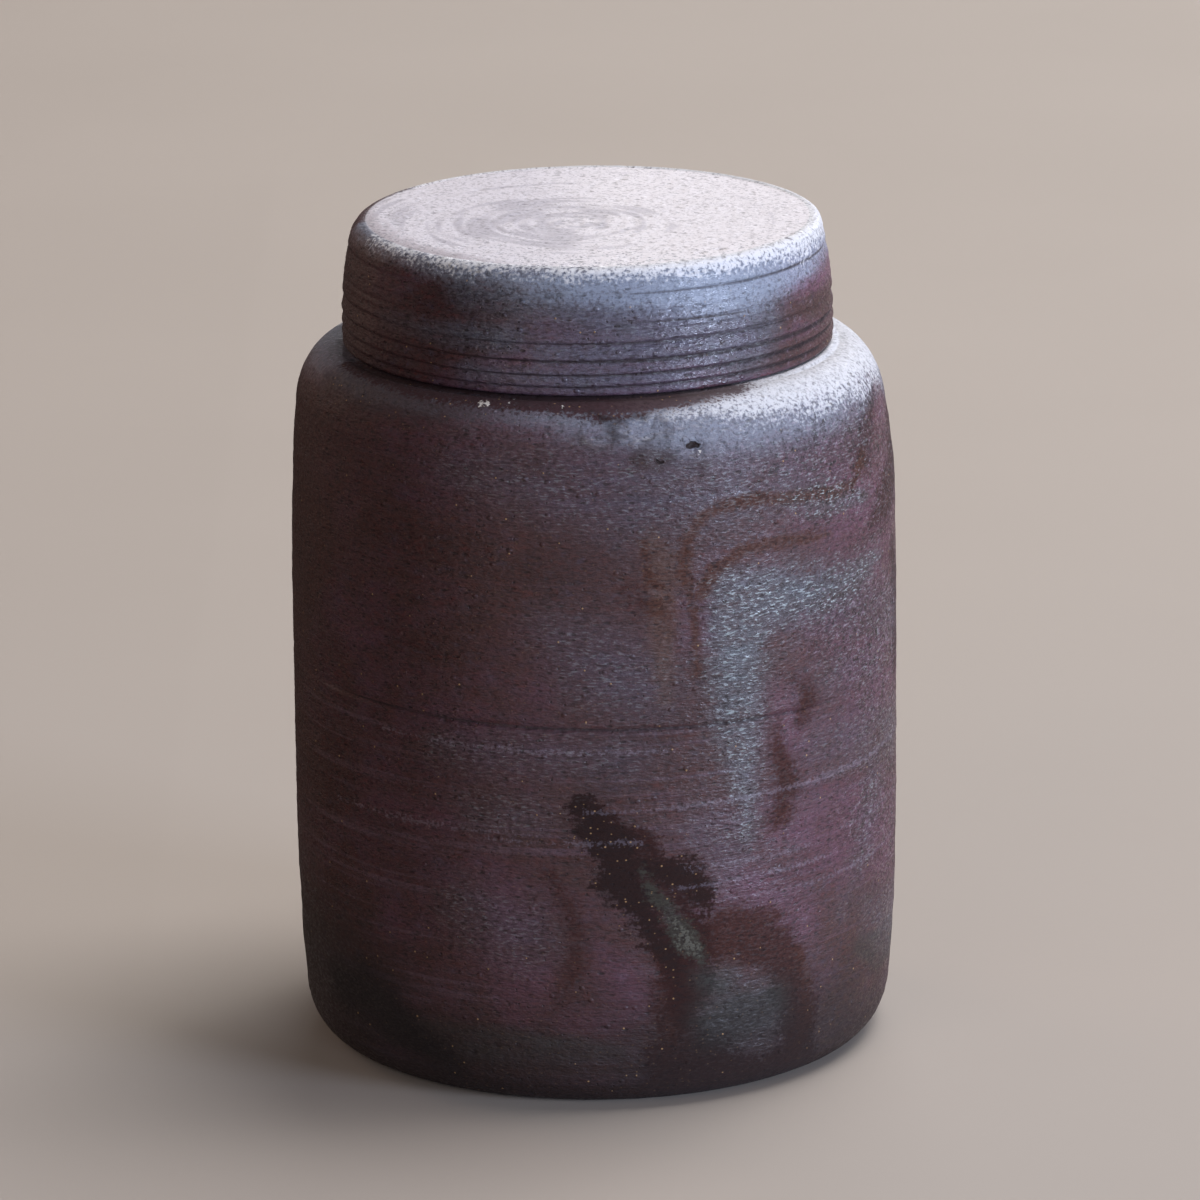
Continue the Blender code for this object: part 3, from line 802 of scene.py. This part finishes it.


# How hollow the dents are, how raised their rims, and how much painted shade blackens the hollows
def dentShapes(tree, coords):
    grain = 1 / (dentLook["bendSize"] * mm)
    bend = addNode(tree, "TexNoise", {"Vector": coords, "Scale": grain, "Detail": 2}, "Color")
    bend = addNode(tree, "VectorMath", [bend, [0.5] * 3], operation="SUBTRACT")
    bend = addNode(tree, "VectorMath", [bend, [dentLook["bend"] * mm] * 3, coords], operation="MULTIPLY_ADD")
    start, full = dentLook["hollow"]
    hollows = rims = black = 0
    for turn, place, radius, halfWidth, halfHeight, deep, darkness in dents:
        side = math.radians(turn)
        middle = (radius * math.sin(side), -radius * math.cos(side), place)
        spread = addNode(tree, "Mapping", {
            "Vector": bend, "Location": [part * mm for part in middle], "Rotation": (0, 0, side),
            "Scale": (halfWidth * mm, dentLook["reach"] * mm, halfHeight * mm),
        }, vector_type="TEXTURE")
        away = addNode(tree, "VectorMath", [spread], "Value", operation="LENGTH")
        hollow = addNode(tree, "MapRange", [away, start, full, 0, deep], **smooth)
        black = addNode(tree, "Math", [hollow, darkness / deep, black], operation="MULTIPLY_ADD")
        rim = addNode(tree, "Math", [away, 1], operation="SUBTRACT")
        rim = addNode(tree, "Math", [rim], operation="ABSOLUTE")
        rim = addNode(tree, "MapRange", [rim, dentLook["rim"], 0], **smooth)
        hollows = addNode(tree, "Math", [hollows, hollow], operation="MAXIMUM")
        rims = addNode(tree, "Math", [rims, rim], operation="MAXIMUM")
    return hollows, rims, black


# buriedBy is the ash that fills the grain, worked how strongly the hand's chatter shows, and the last
# argument how strongly the painted glints show
def firedStoneware(name, layers, ashes, buriedBy, worked, paintedGlintStrength):
    material, tree, shader = newMaterial(name)
    coords = addNode(tree, "TexCoord", output="Object")
    skin = addNode(tree, "Attribute", output="Fac", attribute_name="skin")
    up = addNode(tree, "SeparateXYZ", [coords], "Z")
    pattern = clayPatterns(tree, coords)

    # ground colour: clouds of brown and mauve
    tones = addNode(tree, "ValToRGB", [pattern["cloud"]])
    stops = tones.node.color_ramp.elements
    for number, (paint, place) in enumerate(clay["tones"]):  # a ramp comes with two stops
        stop = stops[number] if number < 2 else stops.new(place)
        stop.position, stop.color = place, linear(clay[paint])
    bare = addNode(tree, "MapRange", {"Value": skin, "To Min": clay["rawShare"], "To Max": 0})
    colour = addNode(tree, "Mix", {0: bare, 6: tones, 7: linear(clay["raw"])}, 2, data_type="RGBA")
    for kind, start, end, strength, paint in tinges:
        colour, _ = layOver(tree, colour, pattern[kind], start, end, strength, clay[paint])

    # paler lines left by wiping, most of them in the lower half: partly their own tone, partly a painted
    # highlight on their ridges
    low, high = clay["wipedHeights"]
    wiping = addNode(tree, "MapRange", [up, low * mm, high * mm, *clay["wipedShares"]], **smooth)
    colour, _ = layOver(tree, colour, pattern["drag"], *clay["wipedLines"], wiping, clay["wipedAndHighlight"])

    # the crests that the hand smoothed are shiny, and the hollows between them are dull
    roughness = addNode(tree, "MapRange", [pattern["chatter"], *clay["crests"], clay["dull"], clay["shiny"]])

    # the fire's marks and the painted light and shade, one over the other, with edges broken up by noise
    torn = addNode(tree, "Math", [pattern["drag"], clay["torn"], pattern["torn"]], operation="MULTIPLY_ADD")
    torn = addNode(tree, "Math", [torn, (1 + clay["torn"]) / 2], operation="SUBTRACT")
    fine = addNode(tree, "Math", [pattern["speckle"], 0.5], operation="SUBTRACT")
    covered, tear = {}, clay["tear"]
    for coat, shownThrough in ((layers, tints), (ashes, ashTints)):
        for mark, paint, strength, edge, ragged, speckled, duller in coat:
            depth = addNode(tree, "Attribute", output="Fac", attribute_name=mark)
            for tearing, amount in ((torn, ragged), (fine, speckled)):
                depth = addNode(tree, "Math", [tearing, tear * amount, depth], operation="MULTIPLY_ADD")
            colour, cover = layOver(tree, colour, depth, -edge, edge, strength, paint)
            roughness = addNode(tree, "Math", [cover, duller, roughness], operation="MULTIPLY_ADD")
            covered[mark] = cover
        # the clay's own grains, and painted shade in the hollows between its crests, show through the fire's
        # marks, and less through ash
        for kind, start, end, strength, paint in shownThrough:
            strength *= worked if kind == "chatter" else 1
            colour, _ = layOver(tree, colour, pattern[kind], start, end, strength, clay[paint])

    # painted glints: pale colour on the crests, most of it on the silver skin
    paintedGlintShare = 0
    for mark, share in paintedGlintMarks:
        if mark in covered:
            paintedGlintShare = addNode(tree, "Math", [covered[mark], share * paintedGlintStrength, paintedGlintShare], operation="MULTIPLY_ADD")
    for kind, start, end in paintedGlintPatterns:
        colour, _ = layOver(tree, colour, pattern[kind], start, end, paintedGlintShare, clay["paintedGlint"])
    # dark and pale grains where the surface is coarse
    for start, end, strength, paint in peppers:
        most = addNode(tree, "Math", [covered["coarse"], strength], operation="MULTIPLY")
        colour, _ = layOver(tree, colour, pattern["pepper"], start, end, most, clay[paint])
    hollows = rims = 0
    if "scorch" in covered:
        gold = gildedAnywhere
        for mark, share in gilding:
            gold = addNode(tree, "Math", [covered[mark], share, gold], operation="MULTIPLY_ADD")
        gold = addNode(tree, "Math", [pattern["gold"], gold], operation="MULTIPLY", use_clamp=True)
        hollows, rims, black = dentShapes(tree, coords)
        start, end, strength = dentLook["stained"]
        stain = addNode(tree, "MapRange", [pattern["torn"], start, end, 0, strength])
        stain = addNode(tree, "Math", [stain, rims, black], operation="MULTIPLY_ADD", use_clamp=True)
        for share, paint in ((gold, "speck"), (stain, "stain")):
            colour = addNode(tree, "Mix", {0: share, 6: colour, 7: linear(clay[paint])}, 2, data_type="RGBA")
        roughness = addNode(
            tree, "Math", [stain, dentLook["dull"], roughness], operation="MULTIPLY_ADD", use_clamp=True
        )

    # relief in millimetres, some of it only where a mark lies
    raised = [(pattern[kind], amount * (worked if kind == "chatter" else 1)) for kind, amount in reliefs]
    raised += [(hollows, hollowRelief), (rims, rimRelief)]
    for kind, share, amount in (
        ("drag", wiping, dragRelief), ("chatter", covered["silverAndSheen"], silverRelief),
        ("pepper", covered["coarse"], coarseRelief),
    ):
        raised.append((addNode(tree, "Math", [pattern[kind], share], operation="MULTIPLY"), amount))
    height = 0
    for part, amount in raised:
        height = addNode(tree, "Math", [part, amount, height], operation="MULTIPLY_ADD")
    buried = addNode(tree, "Math", [covered[buriedBy], -clay["buried"], 1], operation="MULTIPLY_ADD")
    bump = addNode(tree, "Bump", {"Height": height, "Distance": mm, "Strength": buried})
    for socket, value in (("Normal", bump), ("Base Color", colour), ("Roughness", roughness)):
        tree.links.new(value, shader.inputs[socket])
    shader.inputs["IOR"].default_value = clay["ior"]
    return material


# Each mark's colour, strength, softness of its edge and raggedness in mm, how far its edge breaks into
# specks, and how much duller it is
bodyLayers = [
    # partly the clay, partly painted shade on the side away from the lights
    ("umberAndShade", "#442824", 0.85, 17, 0.8, 0, 0.26),
    ("coarse", "#74405a", 0.34, 8, 2, 0.6, 0.04),
    ("blush", "#6f475c", 0.6, 4, 1.2, 0, 0),
    ("rust", "#33150e", 0.9, 2, 1.6, 1, 0.42),
    ("ochre", "#55301c", 0.6, 1.4, 0.8, 0.6, 0.1),
    ("olive", "#313633", 0.85, 1.2, 0.8, 0.5, 0.06),
    # grey-blue, partly a painted sheen
    ("hazeAndSheen", "#575464", 0.55, 5, 2.5, 0.8, -0.1),
    # blue-grey, partly a painted sheen where the highlight falls
    ("silverAndSheen", "#5c6a72", 0.75, 2.6, 2, 1.6, -0.16),
    ("tan", "#644a38", 0.6, 1.6, 0.8, 0.2, 0.2),
    ("flame", "#46251d", 0.9, 1, 0.4, 0.2, 0.26),
    ("arc", "#4a291b", 0.86, 0.8, 0.6, 0.35, 0.28),
    ("char", "#30110a", 0.93, 1, 2, 1, 0.4),
    ("scorch", "#200c06", 0.85, 1.4, 2, 1.2, 0.36),
    ("streak", "#3b3930", 0.85, 0.7, 0.8, 0.7, 0),
    # a painted highlight along the run
    ("runHighlight", "#66655a", 0.55, 0.5, 0.6, 1.2, 0),
    ("blot", "#3f4541", 0.76, 3.2, 1, 0.6, 0.12),
    ("heelShadow", "#1d1411", 0.85, 3, 1.2, 0.3, 0.1),
    ("ember", "#37302a", 0.6, 2.4, 1, 0.4, 0),
    # painted shade towards the foot
    ("footShade", "#170d0c", 0.78, 11, 0.8, 0, 0.15),
    # paler: partly their own tone, partly a painted highlight
    ("rubAndHighlight", "#877f8b", 0.27, 0.25, 0.3, 0.7, -0.1),
]
bodyAshes = [
    # blue-grey, partly a painted sheen
    ("bloomAndSheen", "#8f9aa8", 0.55, 3.6, 1, 0.6, -0.04),
    # pale: partly real ash, partly a painted sheen
    ("dustAndSheen", "#cfcfcf", 0.86, 2, 1.4, 2.2, 0.12),
    ("smudge", "#33201e", 0.75, 0.7, 0.5, 0.5, 0.1),
    ("crumbs", "#2a1a1c", 0.55, 1.2, 1, 1.2, 0.2),
    # partly the clay's red, partly painted shade under the lid's rim
    ("seam", "#37181a", 0.9, 0.5, 0.5, 0.6, 0.35),
    # painted shade in the scored line
    ("grooveShade", "#1c1010", 0.75, 0.16, 0.01, 0, 0.2),
    # pale chips, and a painted highlight in the pit
    ("chipsAndHighlight", "#d9d3c9", 1, 0.1, 0.15, 0.25, 0.1),
]


def makeBody():
    under, outside, hidden = bodyOutline()
    shape = turnOnWheel([(under, 0), (outside, 1), (hidden, 0)], body["segments"])
    material = firedStoneware(
        "wood-fired stoneware, bare", bodyLayers, bodyAshes, "dustAndSheen", body["worked"], body["paintedGlintStrength"]
    )
    reach = math.radians(1) * body["belly"]
    finishPiece(
        "jarBody", shape, material, bodyRelief, bodyMarks, None, reach, (0, 0, 0),
        "jar", "jar_body",
    )


# The cap lid, in millimetres over its rim
lid = {
    "radius": (lidHigh.x - lidLow.x) / 2 / mm,
    "height": (lidHigh.z - lidLow.z) / mm,
    "wall": 4.2,
    "top": 4.5,
    "taper": 2.2,
    "straight": 0.17,  # share of the wall that stands upright
    "corner": 1.7,
    "ceilingFillet": 2.5,
    "rimRounding": 0.6,
    "segments": 400,
    "rowHeight": 0.2,
    "topRow": 0.5,
    "ceilingRow": 10,
    # spacing of the outline's points on its other stretches
    "spacing": {"fillet": 0.8, "bore": 2.5, "innerRim": 0.3, "outerRim": 0.2, "corner": 0.25},
    # throwing rings: groove height and depth. The wall steps out just over each groove, then slopes back.
    "grooves": [
        (1.5, 0.42), (3.4, 0.5), (5.7, 0.62), (8.5, 0.54), (10.4, 0.14), (11.6, 0.2), (13.4, 0.12),
        (16.2, 0.28), (18.1, 0.1), (19.3, 0.12),
    ],
    "step": 0.35,  # from a groove up to its crest
    "grooveStrength": 0.75,
    "grooveUneven": (0.5, 30, 5, (7, 7, 2)),  # unevenness as on the body
    "grooveDeeper": (0.25, 10, 100, 40),  # by how much, from and to azimuth, and fade
    "wander": [(0.3, 50, 400, (4, 2, 9)), (0.12, 12, 9, (1, 3, 5))],
    "uneven": [(0.05, 24, 4, (2, 6, 1)), (0.02, 5, 0.8, (9, 1, 3)), (0.03, 1.6, 1.2, (3, 3, 8))],
    "topUneven": [(0.1, 14, 14, (5, 8, 1)), (0.05, 3, 3, (1, 9, 9)), (0.03, 1.5, 1.5, (2, 7, 5))],
    "swirl": (-2.4, -6),  # middle of the trimming swirls on the top
    "swirlDepth": 0.022,
    "swirlPitch": 2.3,
    "swirlBend": (1.3, 12, 12, (4, 4, 1)),
    "swirlBreaks": (2.2, 11, 11, (6, 1, 3)),  # where the swirls stop and start again
    "swirlMostly": 1.1,  # more of this leaves fewer breaks
    "swirlFade": (0.3, 24, 14),  # what is left far from their middle, from what radius and over how much
    "dip": (0.25, 18, 24, 30),  # of the top's back: depth, past what radius, over how much, and how far back
    "swirlWidth": 1.4,  # of the arcs that the trimming tool left, which come and go
    # the wall was pulled in a little, mostly on the left, and its top corner there is rubbed rounder
    "slim": 0.27,  # how much the wall falls short of its true circle
    "slimLeft": 0.9,
    "rubbed": (0.45, 17.5, 2.5),  # inward, above what height and over how much
    "pullReach": 30,  # radius past which all of that holds
    "rubbedDown": (0.35, 18, 2, 35, 4),  # the same downward, and past what radius and over how much
    "worked": 0.45,  # how strongly the hand's chatter shows
    "paintedGlintStrength": 0.3,  # how strongly the painted glints show
    # as on the body, but on the top each is placed by how far right and how far back it lies
    "topLumps": [
        (18.7, -28.1, 0.5, 0.6, -0.5), (21.6, -25.4, 0.7, 0.6, -0.6), (18.5, -32.9, 0.5, 0.5, -0.5),
        (33.3, -14.7, 0.8, 0.6, -0.4), (-18, 20, 0.7, 0.7, -0.4), (6, 27, 0.6, 0.6, -0.4),
    ],
    "lumps": [
        (20.2, 13.3, 0.6, 0.5, -0.35), (21.6, 15, 0.4, 0.4, -0.3), (19.6, 11.1, 0.5, 0.4, -0.3),
        (40, 12.8, 0.6, 0.4, -0.2), (-60, 9, 0.5, 0.5, 0.2), (140, 10, 0.7, 0.5, 0.3),
        (-130, 7, 0.6, 0.5, -0.3),
    ],
}

# The fire's marks and some painted light and shade on the lid's wall, as on the body, with heights over its
# rim
lidMarks = {
    "coarse": [[(46, 10, 3), (66, 10, 8), (110, 10, 9)], [(30, 3, 1), (60, 3, 4)]],
    # the side away from flame and lights, browner and duller: partly the clay, partly painted shade
    "umberAndShade": [[(-150, 10, 8), (-100, 10, 14), (-70, 10, 12), (-45, 8, 1)]],
    "blush": [
        [(50, 16, 2), (66, 15, 4), (84, 14, 6), (100, 13, 5)], [(62, 3, 2), (84, 5, 3)],
        [(170, 8, 5), (-160, 10, 4)],
    ],
    "rust": [
        [(44.6, 9.4, 2.3), (47, 8.7, 2.6), (53, 8.6, 2.2), (60, 9.2, 1.4), (70, 8, 2), (84, 8, 3)],
        [(36, 3, 1.2), (50, 2.6, 2.2), (72, 2.4, 2.6), (95, 3, 3)], [(7.4, 11.1, 0.7), (9.5, 10.9, 0.8)],
    ],
    # blue-grey skin, partly a painted sheen
    "silverAndSheen": [
        [(-58, 9, -2), (-36, 9, 0.6), (-18, 9, 3)],
        [(-30, 16, 2), (6, 14, 5), (30, 11, 8), (40, 10, 8), (50, 15, 3)], [(-10, 7, 3), (20, 7, 4)],
        [(-28, 3, 1.5), (0, 3, 2.6), (22, 2.6, 2)], [(130, 10, 8), (160, 12, 5)],
    ],
    # painted shade in the throwing grooves
    "grooveShade": [
        [(-52, 5.7, 0), (-20, 5.7, 0.2), (20, 5.6, 0.34), (90, 5.2, 0.34)],
        [(-56, 3.4, 0), (0, 3.4, 0.2), (40, 3.3, 0.3), (90, 3, 0.26)],
        [(-40, 8.5, 0), (0, 8.5, 0.15), (40, 8.3, 0.15), (58, 8.2, 0.05)],
        [(-60, 1.5, 0), (0, 1.5, 0.2), (70, 1.4, 0.3)],
        [(10, 16.3, 0.05), (40, 16.2, 0.18), (80, 16.4, 0.26)],
        [(10, 11.7, 0.02), (28, 11.6, 0.16), (40, 11.4, 0.1)],
    ],
    "crack": [
        [(18, 11.4, 0.03), (17, 8, 0.09), (15.2, 3.4, 0.04)], [(29, 12.4, 0.04), (28, 10.4, 0.09)],
        [(-1, 14.6, 0.05), (0.6, 11, 0.08)], [(40.4, 11.6, 0.16), (42.4, 8.6, 0.12), (44.6, 5.9, 0.1)],
        [(14, 11.6, 0.03), (24, 11.7, 0.07), (38, 11.4, 0.05)],
    ],
    # blue-grey bloom round the top of the wall: partly ash, partly a painted sheen where it turns up
    "bloomAndSheen": [
        [(-84, 20.8, 1.2), (-45, 20.4, 1.6), (-24, 19.8, 2), (-8, 18.6, 2.6), (8, 18, 3.4), (22, 17, 4.4),
         (38, 16.6, 5), (54, 17, 4), (75, 18, 3), (120, 17, 4), (170, 18, 3)],
    ],
    # ash on the wall's top corner, more to the right: partly real ash, partly a painted sheen
    "dustAndSheen": [
        [(-70, 21.2, 0.9), (-30, 21, 1), (0, 20.8, 1), (30, 20.4, 1.6), (60, 20.2, 2), (110, 20, 3),
         (170, 20, 2.4), (-130, 21, 1.2)],
    ],
}

lidLayers = [
    # partly the clay, partly painted shade on the side away from the lights
    ("umberAndShade", "#4d322f", 0.8, 10, 0.6, 0, 0.2),
    ("coarse", "#4a2d33", 0.2, 4, 2, 0.6, 0.06),
    ("blush", "#744862", 0.6, 2.5, 1, 0, 0),
    ("rust", "#42241f", 0.82, 0.9, 0.9, 0.6, 0.16),
    # blue-grey, partly a painted sheen
    ("silverAndSheen", "#5a606c", 0.6, 3.5, 1, 0.4, -0.14),
]
lidAshes = [
    # blue-grey, partly a painted sheen where the wall turns up
    ("bloomAndSheen", "#949faf", 0.75, 2.4, 0.8, 0.6, 0),
    # painted shade in the throwing grooves
    ("grooveShade", "#1d1113", 0.8, 0.2, 0.02, 0, 0.25),
    ("crack", "#2a1a1a", 0.8, 0.12, 0.12, 0, 0.1),
    # pale: partly real ash, partly a painted sheen
    ("dustAndSheen", "#dadada", 0.85, 1.2, 1, 1.8, 0.15),
    # near-white: partly real ash, partly a painted sheen
    ("ashAndSheen", "#e9e5e6", 0.95, 1, 0.4, 2, 0.25),
    # painted shade over the left of the top
    ("leftShadeVeil", "#cac6cc", 0.6, 8, 1.5, 0, 0),
    ("swirl", "#8b8791", 0.38, 0.7, 0.9, 1, 0.03),
    ("wear", "#8d7f82", 0.5, 1.6, 0.8, 1.2, 0),
]


def lidRadius(height):
    straight = lid["height"] * lid["straight"]
    share = max(0, height - straight) / (lid["height"] - straight)
    return lid["radius"] - lid["taper"] * share ** 2


def lidOutline():
    bore = lid["radius"] - lid["wall"]
    ceiling = lid["height"] - lid["top"]
    fillet, rounding, corner = lid["ceilingFillet"], lid["rimRounding"], lid["corner"]
    edge = lidRadius(lid["height"] - corner) - corner
    row, spacing = lid["ceilingRow"], lid["spacing"]
    inside = [(radius, ceiling) for radius in range(0, 4 * row, row)]
    inside += arcPoints((bore - fillet, ceiling - fillet), fillet, fillet, 90, 0, spacing["fillet"])
    inside += wallPoints(lambda height: bore, ceiling - fillet - 2, rounding + 1, spacing["bore"])
    inside += arcPoints((bore + rounding, rounding), rounding, rounding, 180, 270, spacing["innerRim"])
    outside = arcPoints(
        (lid["radius"] - rounding, rounding), rounding, rounding, 270, 360, spacing["outerRim"]
    )
    outside += wallPoints(lidRadius, rounding, lid["height"] - corner, lid["rowHeight"])[1:]
    outside += arcPoints((edge, lid["height"] - corner), corner, corner, 0, 90, spacing["corner"])[1:]
    rings = round(edge / lid["topRow"])
    top = [(edge * (1 - ring / rings), lid["height"]) for ring in range(1, rings + 1)]
    return inside, outside, top


def lidRelief(points, normals, skin):
    azimuth, height, radius = onWheel(points)
    reach = math.radians(1) * lid["radius"]
    onTop = ease(skin - 1)
    places, rises = [0], [0]
    for place, depth in lid["grooves"]:
        places += [place, place + lid["step"]]
        rises += [-depth, 0]
    deeper, start, end, fade = lid["grooveDeeper"]
    strength = lid["grooveStrength"] + noiseAt(points, *lid["grooveUneven"])
    strength += deeper * sector(azimuth, start, end, fade)
    relief = strength * np.interp(height + noises(points, lid["wander"]), places, rises)
    relief += noises(points, lid["uneven"])
    relief += lumpRelief(lambda place: turnFrom(place, azimuth) * reach, height, lid["lumps"])
    fromSwirl = np.hypot(*(points[:, :2] - lid["swirl"]).T)
    wound = fromSwirl * math.tau / lid["swirlPitch"] + noiseAt(points, *lid["swirlBend"])
    least, start, over = lid["swirlFade"]
    broken = ease(lid["swirlMostly"] + noiseAt(points, *lid["swirlBreaks"]))
    broken *= least + ease((start - fromSwirl) / over)
    topRelief = lid["swirlDepth"] * np.sin(wound) * broken + noises(points, lid["topUneven"])
    topRelief += lumpRelief(lambda place: points[:, 0] - place, points[:, 1], lid["topLumps"])
    depth, start, over, back = lid["dip"]
    topRelief -= depth * ease((fromSwirl - start) / over) * ease(points[:, 1] / back)
    moved = points + normals * (relief * ease(skin) * (1 - onTop) + topRelief * onTop)[:, None]
    left = 0.5 - 0.5 * np.sin(np.radians(azimuth))
    inward, start, over = lid["rubbed"]
    pull = lid["slim"] * (1 + lid["slimLeft"] * (2 * left - 1))
    pull += inward * left * ease((height - start) / over)
    moved[:, :2] *= (1 - pull * ease(radius / lid["pullReach"]) * (skin > 0) / (radius + 1e-9))[:, None]
    down, start, over, past, widening = lid["rubbedDown"]
    rubbed = ease((radius - past) / widening) * left * ease((height - start) / over)
    moved[:, 2] -= down * rubbed * (skin > 0)
    return moved


# The marks on the flat top, in mm inside, right of its middle, or out from it
lidTop = {
    "edge": 24,  # how sharply each ends at the top's corner
    "ashAndSheen": (0.25, 0.13, 38.4),  # at the rim, more for each mm inward, and the rim's radius
    # painted light: the ash whiter to the right and back
    "ashAway": (2.5, -110, 50, 60),  # more away from these azimuths, and fade
    "leftShadeVeil": (-0.7, -2),  # painted shade over the left: for each mm to the right, and in the middle
    "arcs": (3.4, 1, 1, (2, 5, 3)),  # the swirls: unevenness as on the body, wound round their middle
    "arcTurn": 1.3,  # more of this makes them shorter
    "arcWobble": (0.8, 9, 9, (3, 5, 1)),
    "arcPatches": (2, 9, 9, (2, 2, 7)),
    "arcFade": (2.5, 14, 10),  # less past this radius, over this much
    "arcRight": (0.5, 12),  # less to the right, all of it by there
    "wear": (34.5, 6, -100, -20, 50),  # past what radius, less away from these azimuths, and fade
}


# The ash on the top, partly a painted sheen, thinner at the front left and whiter to the right as painted
# light, a veil of painted shade over its left, its trimming swirls, and a worn edge
def lidTopMarks(points, azimuth, radius, skin):
    top = (skin - 1.5) * lidTop["edge"]
    least, gain, rim = lidTop["ashAndSheen"]
    more, start, end, fade = lidTop["ashAway"]
    ashAndSheen = least + gain * (rim - radius) + more * (1 - sector(azimuth, start, end, fade))
    slope, middle = lidTop["leftShadeVeil"]
    leftShadeVeil = slope * points[:, 0] + middle
    across, up = (points[:, :2] - lid["swirl"]).T
    fromSwirl = np.hypot(across, up) + 1e-9
    turn = lidTop["arcTurn"] / fromSwirl
    wobbled = (fromSwirl + noiseAt(points, *lidTop["arcWobble"])) / lid["swirlWidth"]
    wound = np.column_stack((turn * across, turn * up, wobbled))
    swirl = noiseAt(wound, *lidTop["arcs"]) + noiseAt(points, *lidTop["arcPatches"])
    less, start, over = lidTop["arcFade"]
    lessRight, right = lidTop["arcRight"]
    swirl -= less * ease((fromSwirl - start) / over) + lessRight * np.clip(points[:, 0] / right, -1, 1)
    past, less, start, end, fade = lidTop["wear"]
    wear = radius - past - less * (1 - sector(azimuth, start, end, fade))
    marks = {"ashAndSheen": ashAndSheen, "leftShadeVeil": leftShadeVeil, "swirl": swirl, "wear": wear}
    return {mark: np.minimum(depth, top) for mark, depth in marks.items()}


def makeLid():
    inside, outside, top = lidOutline()
    shape = turnOnWheel([(inside, 0), (outside, 1), (top, 2)], lid["segments"])
    material = firedStoneware(
        "wood-fired stoneware, ash-dusted", lidLayers, lidAshes, "ashAndSheen", lid["worked"], lid["paintedGlintStrength"]
    )
    centre = ((lidLow.x + lidHigh.x) / 2, (lidLow.y + lidHigh.y) / 2, lidLow.z)
    reach = math.radians(1) * lid["radius"]
    finishPiece(
        "capLid", shape, material, lidRelief, lidMarks, lidTopMarks, reach, centre,
        "lid", "cap_lid",
    )


placeCamera()
placeLights()
makeFloor()
makeFlag()
makeBody()
makeLid()
